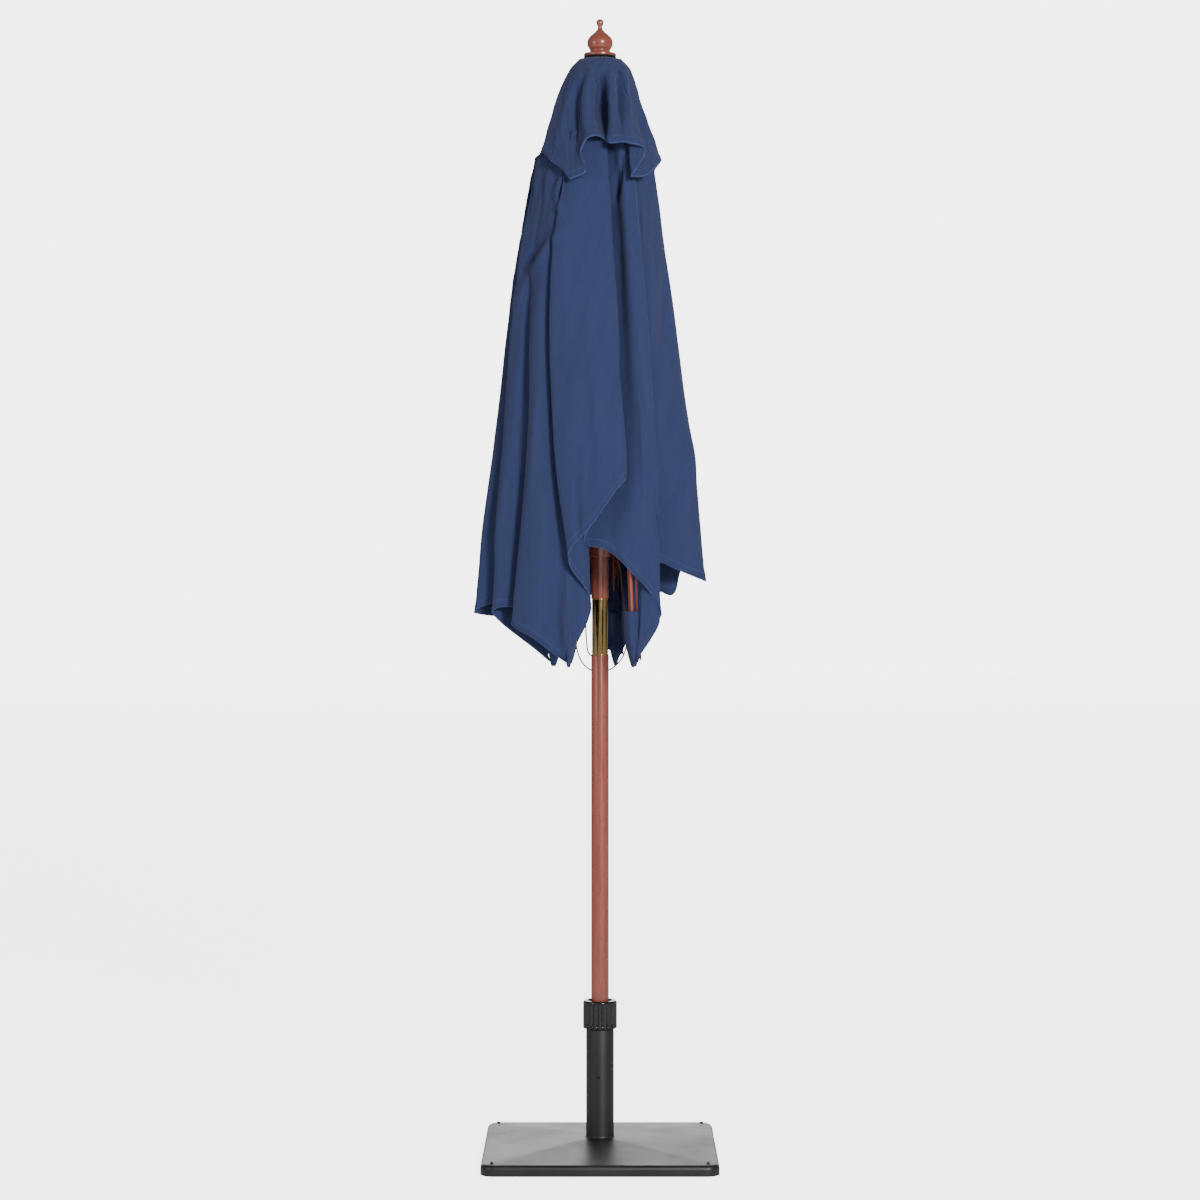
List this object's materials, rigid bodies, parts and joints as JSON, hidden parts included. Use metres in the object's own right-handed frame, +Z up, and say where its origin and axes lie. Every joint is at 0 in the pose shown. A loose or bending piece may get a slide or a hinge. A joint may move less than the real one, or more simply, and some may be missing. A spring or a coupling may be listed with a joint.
{
  "type": "patio umbrella with base",
  "caption": "Closed centre-pole patio umbrella: wooden pole, ribs and stretchers, vented cloth canopy, brass joint, pull cord and weighted square base with tube clamp.",
  "frame": {"origin": "on the floor under the pole's axis", "axes": "+Z up along the pole, -Y towards the front of the closed canopy, X and Y along the base plate's sides"},
  "size_m": [0.5, 0.5, 2.4423],
  "materials": {
    "powder_coat": "satin black powder coat",
    "concrete": "cast, matt",
    "black_plastic": "moulded, glossy",
    "zinc_steel": "zinc plated",
    "black_steel": "blackened",
    "stained_wood": "red-brown stain under satin varnish",
    "brass": "polished",
    "rubber": "moulded, matt",
    "cord": "braided polyester",
    "cloth": "plain-woven polyester, matt"
  },
  "bodies": {
    "base": {"base_cover": "powder_coat", "base_ballast": "concrete", "base_foot_1": "rubber", "base_foot_2": "rubber", "base_foot_3": "rubber", "base_foot_4": "rubber", "cover_screw_1": "black_steel", "cover_screw_2": "black_steel", "cover_screw_3": "black_steel", "cover_screw_4": "black_steel", "base_tube": "powder_coat", "tube_bolt": "zinc_steel", "tube_nut": "zinc_steel", "collet_sleeve": "black_plastic"},
    "clamp_collar": {"clamp_collar": "black_plastic"},
    "tube_screw": {"tube_screw": "black_steel"},
    "lower_pole": {"lower_pole": "stained_wood", "ferrule": "brass"},
    "upper_pole": {"upper_pole": "stained_wood", "top_hub": "stained_wood", "hub_ring": "brass", "pulley_pin": "brass", "hoist_line": "cord", "pull_cord": "cord", "finial_washer": "rubber", "finial_rod": "zinc_steel", "vent_cap": "cloth"},
    "finial": {"finial": "stained_wood"},
    "pulley": {"pulley": "black_plastic"},
    "runner": {"runner": "stained_wood"},
    "rib_1": {"rib_1": "stained_wood", "bracket_1": "brass"},
    "stretcher_1": {"stretcher_1": "stained_wood"},
    "gore_1": {"canopy_gore_1": "cloth"},
    "rib_2": {"rib_2": "stained_wood", "bracket_2": "brass"},
    "stretcher_2": {"stretcher_2": "stained_wood"},
    "gore_2": {"canopy_gore_2": "cloth"},
    "rib_3": {"rib_3": "stained_wood", "bracket_3": "brass"},
    "stretcher_3": {"stretcher_3": "stained_wood"},
    "gore_3": {"canopy_gore_3": "cloth"},
    "rib_4": {"rib_4": "stained_wood", "bracket_4": "brass"},
    "stretcher_4": {"stretcher_4": "stained_wood"},
    "gore_4": {"canopy_gore_4": "cloth"},
    "rib_5": {"rib_5": "stained_wood", "bracket_5": "brass"},
    "stretcher_5": {"stretcher_5": "stained_wood"},
    "gore_5": {"canopy_gore_5": "cloth"},
    "rib_6": {"rib_6": "stained_wood", "bracket_6": "brass"},
    "stretcher_6": {"stretcher_6": "stained_wood"},
    "gore_6": {"canopy_gore_6": "cloth"}
  },
  "joints": [
    {"name": "pole_lift", "type": "slide", "parent": "base", "child": "lower_pole", "axis": [0, 0, 1], "range_m": [0, 0.2]},
    {"name": "collar_turn", "type": "hinge", "parent": "base", "child": "clamp_collar", "pos_m": [0, 0, 0.305], "axis": [0, 0, 1], "range_deg": [0, 180]},
    {"name": "tube_screw_turn", "type": "hinge", "parent": "base", "child": "tube_screw", "pos_m": [-0.00418, -0.02971, 0.172], "axis": [-0.1392, -0.9903, 0], "range_deg": [0, 360]},
    {"name": "upper_pole_lift", "type": "slide", "parent": "lower_pole", "child": "upper_pole", "axis": [0, 0, 1], "range_m": [0, 0.07]},
    {"name": "finial_turn", "type": "hinge", "parent": "upper_pole", "child": "finial", "pos_m": [0, 0, 2.3623], "axis": [0, 0, 1], "range_deg": [0, 360]},
    {"name": "pulley_spin", "type": "hinge", "parent": "upper_pole", "child": "pulley", "pos_m": [0, 0, 2.215], "axis": [0.5, -0.866, 0], "continuous": true},
    {"name": "runner_slide", "type": "slide", "parent": "upper_pole", "child": "runner", "axis": [0, 0, 1], "range_m": [0, 0.5418], "deforming": ["hoist_line", "vent_cap"]},
    {"name": "rib_1_swing", "type": "hinge", "parent": "upper_pole", "child": "rib_1", "pos_m": [-0.023, -0.03984, 2.317], "axis": [-0.866, 0.5, 0], "range_deg": [0, 71.05]},
    {"name": "stretcher_1_swing", "type": "hinge", "parent": "rib_1", "child": "stretcher_1", "pos_m": [-0.02687, -0.04655, 1.87647], "axis": [0.866, -0.5, 0], "range_deg": [0, 126.53]},
    {"name": "gore_1_fan", "type": "hinge", "parent": "rib_1", "child": "gore_1", "pos_m": [-0.02721, -0.04713, 2.36855], "axis": [-0.3653, -0.9283, 0.069], "range_deg": [0, 57.81], "deforming": ["canopy_gore_1"]},
    {"name": "rib_2_swing", "type": "hinge", "parent": "upper_pole", "child": "rib_2", "pos_m": [0.023, -0.03984, 2.317], "axis": [-0.866, -0.5, 0], "range_deg": [0, 70.75]},
    {"name": "stretcher_2_swing", "type": "hinge", "parent": "rib_2", "child": "stretcher_2", "pos_m": [0.02803, -0.04855, 1.87651], "axis": [0.866, 0.5, 0], "range_deg": [0, 125.97]},
    {"name": "gore_2_fan", "type": "hinge", "parent": "rib_2", "child": "gore_2", "pos_m": [0.02708, -0.0469, 2.3686], "axis": [0.6211, -0.7802, 0.0742], "range_deg": [0, 57.81], "deforming": ["canopy_gore_2"]},
    {"name": "rib_3_swing", "type": "hinge", "parent": "upper_pole", "child": "rib_3", "pos_m": [0.046, 0, 2.317], "axis": [0, -1, 0], "range_deg": [0, 73.75]},
    {"name": "stretcher_3_swing", "type": "hinge", "parent": "rib_3", "child": "stretcher_3", "pos_m": [0.03299, 0, 1.87659], "axis": [0, 1, 0], "range_deg": [0, 131.56]},
    {"name": "gore_3_fan", "type": "hinge", "parent": "rib_3", "child": "gore_3", "pos_m": [0.05684, 0, 2.3681], "axis": [0.9888, 0.1478, 0.0224], "range_deg": [0, 57.81], "deforming": ["canopy_gore_3"]},
    {"name": "rib_4_swing", "type": "hinge", "parent": "upper_pole", "child": "rib_4", "pos_m": [0.023, 0.03984, 2.317], "axis": [0.866, -0.5, 0], "range_deg": [0, 74.05]},
    {"name": "stretcher_4_swing", "type": "hinge", "parent": "rib_4", "child": "stretcher_4", "pos_m": [0.01534, 0.02657, 1.87667], "axis": [-0.866, 0.5, 0], "range_deg": [0, 132.12]},
    {"name": "gore_4_fan", "type": "hinge", "parent": "rib_4", "child": "gore_4", "pos_m": [0.02856, 0.04946, 2.36804], "axis": [0.3664, 0.9303, 0.0173], "range_deg": [0, 57.81], "deforming": ["canopy_gore_4"]},
    {"name": "rib_5_swing", "type": "hinge", "parent": "upper_pole", "child": "rib_5", "pos_m": [-0.023, 0.03984, 2.317], "axis": [0.866, 0.5, 0], "range_deg": [0, 71.25]},
    {"name": "stretcher_5_swing", "type": "hinge", "parent": "rib_5", "child": "stretcher_5", "pos_m": [-0.02611, 0.04522, 1.87644], "axis": [-0.866, -0.5, 0], "range_deg": [0, 126.9]},
    {"name": "gore_5_fan", "type": "hinge", "parent": "rib_5", "child": "gore_5", "pos_m": [-0.0273, 0.04729, 2.36852], "axis": [-0.6214, 0.7807, 0.0655], "range_deg": [0, 57.81], "deforming": ["canopy_gore_5"]},
    {"name": "rib_6_swing", "type": "hinge", "parent": "upper_pole", "child": "rib_6", "pos_m": [-0.046, 0, 2.317], "axis": [0, 1, 0], "range_deg": [0, 72.55]},
    {"name": "stretcher_6_swing", "type": "hinge", "parent": "rib_6", "child": "stretcher_6", "pos_m": [-0.04221, 0, 1.87642], "axis": [0, -1, 0], "range_deg": [0, 129.32]},
    {"name": "gore_6_fan", "type": "hinge", "parent": "rib_6", "child": "gore_6", "pos_m": [-0.05577, 0, 2.36831], "axis": [-0.9881, -0.1478, 0.0431], "range_deg": [0, 57.81], "deforming": ["canopy_gore_6"]}
  ],
  "couplings": [
    {"joint": "rib_1_swing", "follows": "runner_slide", "rad_per_m": 2.2872},
    {"joint": "stretcher_1_swing", "follows": "runner_slide", "rad_per_m": 4.0742},
    {"joint": "gore_1_fan", "follows": "runner_slide", "rad_per_m": 1.8606},
    {"joint": "rib_2_swing", "follows": "runner_slide", "rad_per_m": 2.2775},
    {"joint": "stretcher_2_swing", "follows": "runner_slide", "rad_per_m": 4.0562},
    {"joint": "gore_2_fan", "follows": "runner_slide", "rad_per_m": 1.8606},
    {"joint": "rib_3_swing", "follows": "runner_slide", "rad_per_m": 2.3741},
    {"joint": "stretcher_3_swing", "follows": "runner_slide", "rad_per_m": 4.2363},
    {"joint": "gore_3_fan", "follows": "runner_slide", "rad_per_m": 1.8606},
    {"joint": "rib_4_swing", "follows": "runner_slide", "rad_per_m": 2.3838},
    {"joint": "stretcher_4_swing", "follows": "runner_slide", "rad_per_m": 4.2543},
    {"joint": "gore_4_fan", "follows": "runner_slide", "rad_per_m": 1.8606},
    {"joint": "rib_5_swing", "follows": "runner_slide", "rad_per_m": 2.2936},
    {"joint": "stretcher_5_swing", "follows": "runner_slide", "rad_per_m": 4.0862},
    {"joint": "gore_5_fan", "follows": "runner_slide", "rad_per_m": 1.8606},
    {"joint": "rib_6_swing", "follows": "runner_slide", "rad_per_m": 2.3355},
    {"joint": "stretcher_6_swing", "follows": "runner_slide", "rad_per_m": 4.1643},
    {"joint": "gore_6_fan", "follows": "runner_slide", "rad_per_m": 1.8606}
  ]
}
